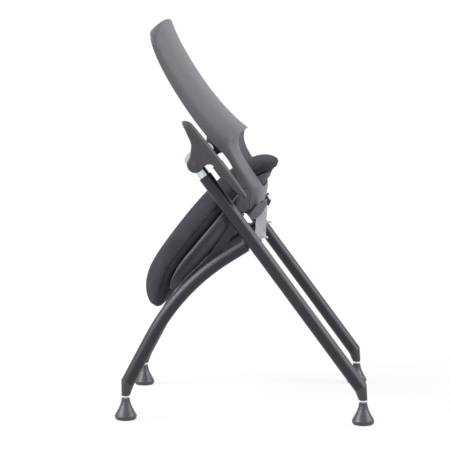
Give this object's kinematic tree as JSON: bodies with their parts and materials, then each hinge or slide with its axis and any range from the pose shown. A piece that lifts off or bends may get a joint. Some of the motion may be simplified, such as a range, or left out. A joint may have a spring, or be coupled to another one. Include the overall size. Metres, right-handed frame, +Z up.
{
  "type": "nesting chair",
  "caption": "Folding nesting chair with padded seat, plastic back shell, flip armrests and bell glides, shown folded for nesting.",
  "frame": {"origin": "on the floor, midway between the four glides", "axes": "+Z up; the sitter faces -Y; +X is the sitter's left; the chair is mirrored about X = 0"},
  "size_m": [0.647, 0.6138, 0.9525],
  "materials": {
    "frame_coat": "charcoal powder coat, semi-gloss, fine texture",
    "back_plastic": "mid grey moulded polypropylene, fine grain",
    "arm_plastic": "grey moulded plastic, fine grain",
    "pan_plastic": "dark grey moulded plastic",
    "trim_plastic": "dark grey moulded plastic, satin",
    "seat_fabric": "charcoal woven upholstery",
    "chrome": "polished",
    "zinc": "zinc plated",
    "link_steel": "light grey coat",
    "rubber": "matte",
    "nylon": "natural nylon",
    "plywood": "moulded birch ply, unfinished"
  },
  "bodies": {
    "leg_frame": {"rear_leg_left": "frame_coat", "rear_leg_right": "frame_coat", "front_leg_left": "frame_coat", "front_leg_right": "frame_coat", "leg_joint_left": "frame_coat", "leg_joint_right": "frame_coat", "front_cross_tube": "frame_coat", "guide_sleeves": "nylon", "front_ferrules": "trim_plastic", "rear_ferrules": "trim_plastic", "glide_studs": "zinc", "arm_post_left": "chrome", "arm_post_right": "chrome", "arm_pins": "zinc", "link_studs": "zinc", "link_spacers": "nylon"},
    "swing_yoke": {"link_left": "link_steel", "link_right": "link_steel", "yoke_tube": "link_steel", "link_bushes": "nylon", "stop_hooks": "zinc"},
    "seat_back": {"side_plate_left": "frame_coat", "side_plate_right": "frame_coat", "seat_bars": "frame_coat", "hub_blocks": "trim_plastic", "yoke_bushes": "nylon", "yoke_housing": "back_plastic", "latch_cover": "back_plastic", "seat_pan": "pan_plastic", "seat_board": "plywood", "seat_cushion": "seat_fabric", "back_shell": "back_plastic", "hub_caps": "back_plastic", "back_bolts": "zinc", "pan_screws": "zinc", "slot_bumpers": "rubber", "lever_pin": "zinc", "lever_springs": "zinc"},
    "lever": {"release_lever": "trim_plastic", "lever_tip": "chrome"},
    "arm_left": {"arm_bracket_left": "arm_plastic", "arm_pad_left": "arm_plastic", "arm_caps_left": "arm_plastic"},
    "arm_right": {"arm_bracket_right": "arm_plastic", "arm_pad_right": "arm_plastic", "arm_caps_right": "arm_plastic"},
    "foot_front_left": {"glide_front_left": "trim_plastic"},
    "foot_front_right": {"glide_front_right": "trim_plastic"},
    "foot_rear_left": {"glide_rear_left": "trim_plastic"},
    "foot_rear_right": {"glide_rear_right": "trim_plastic"}
  },
  "joints": [
    {"name": "link_swing", "type": "hinge", "parent": "leg_frame", "child": "swing_yoke", "pos_m": [0, 0.03252, 0.40004], "axis": [-1, 0, 0], "range_deg": [0, 108]},
    {"name": "seat_fold", "type": "hinge", "parent": "swing_yoke", "child": "seat_back", "pos_m": [0, 0.03805, 0.49899], "axis": [1, 0, 0], "range_deg": [0, 65]},
    {"name": "lever_press", "type": "hinge", "parent": "seat_back", "child": "lever", "pos_m": [0, 0.04825, 0.51049], "axis": [-1, 0, 0], "range_deg": [0, 12], "stiffness_Nm_per_rad": 0.6, "springref_deg": -5.73},
    {"name": "arm_flip_left", "type": "hinge", "parent": "leg_frame", "child": "arm_left", "pos_m": [0.286, -0.10855, 0.60999], "axis": [1, 0, 0], "range_deg": [0, 50.7]},
    {"name": "arm_flip_right", "type": "hinge", "parent": "leg_frame", "child": "arm_right", "pos_m": [-0.286, -0.10855, 0.60999], "axis": [1, 0, 0], "range_deg": [0, 50.7]},
    {"name": "foot_turn_front_left", "type": "hinge", "parent": "leg_frame", "child": "foot_front_left", "pos_m": [0.243, -0.2804, 0.03], "axis": [0, 0, 1], "continuous": true},
    {"name": "foot_turn_front_right", "type": "hinge", "parent": "leg_frame", "child": "foot_front_right", "pos_m": [-0.243, -0.2804, 0.03], "axis": [0, 0, 1], "continuous": true},
    {"name": "foot_turn_rear_left", "type": "hinge", "parent": "leg_frame", "child": "foot_rear_left", "pos_m": [0.285, 0.2804, 0.03], "axis": [0, 0, 1], "continuous": true},
    {"name": "foot_turn_rear_right", "type": "hinge", "parent": "leg_frame", "child": "foot_rear_right", "pos_m": [-0.285, 0.2804, 0.03], "axis": [0, 0, 1], "continuous": true}
  ],
  "couplings": [
    {"joint": "link_swing", "follows": "seat_fold", "ratio": 1.6615}
  ]
}
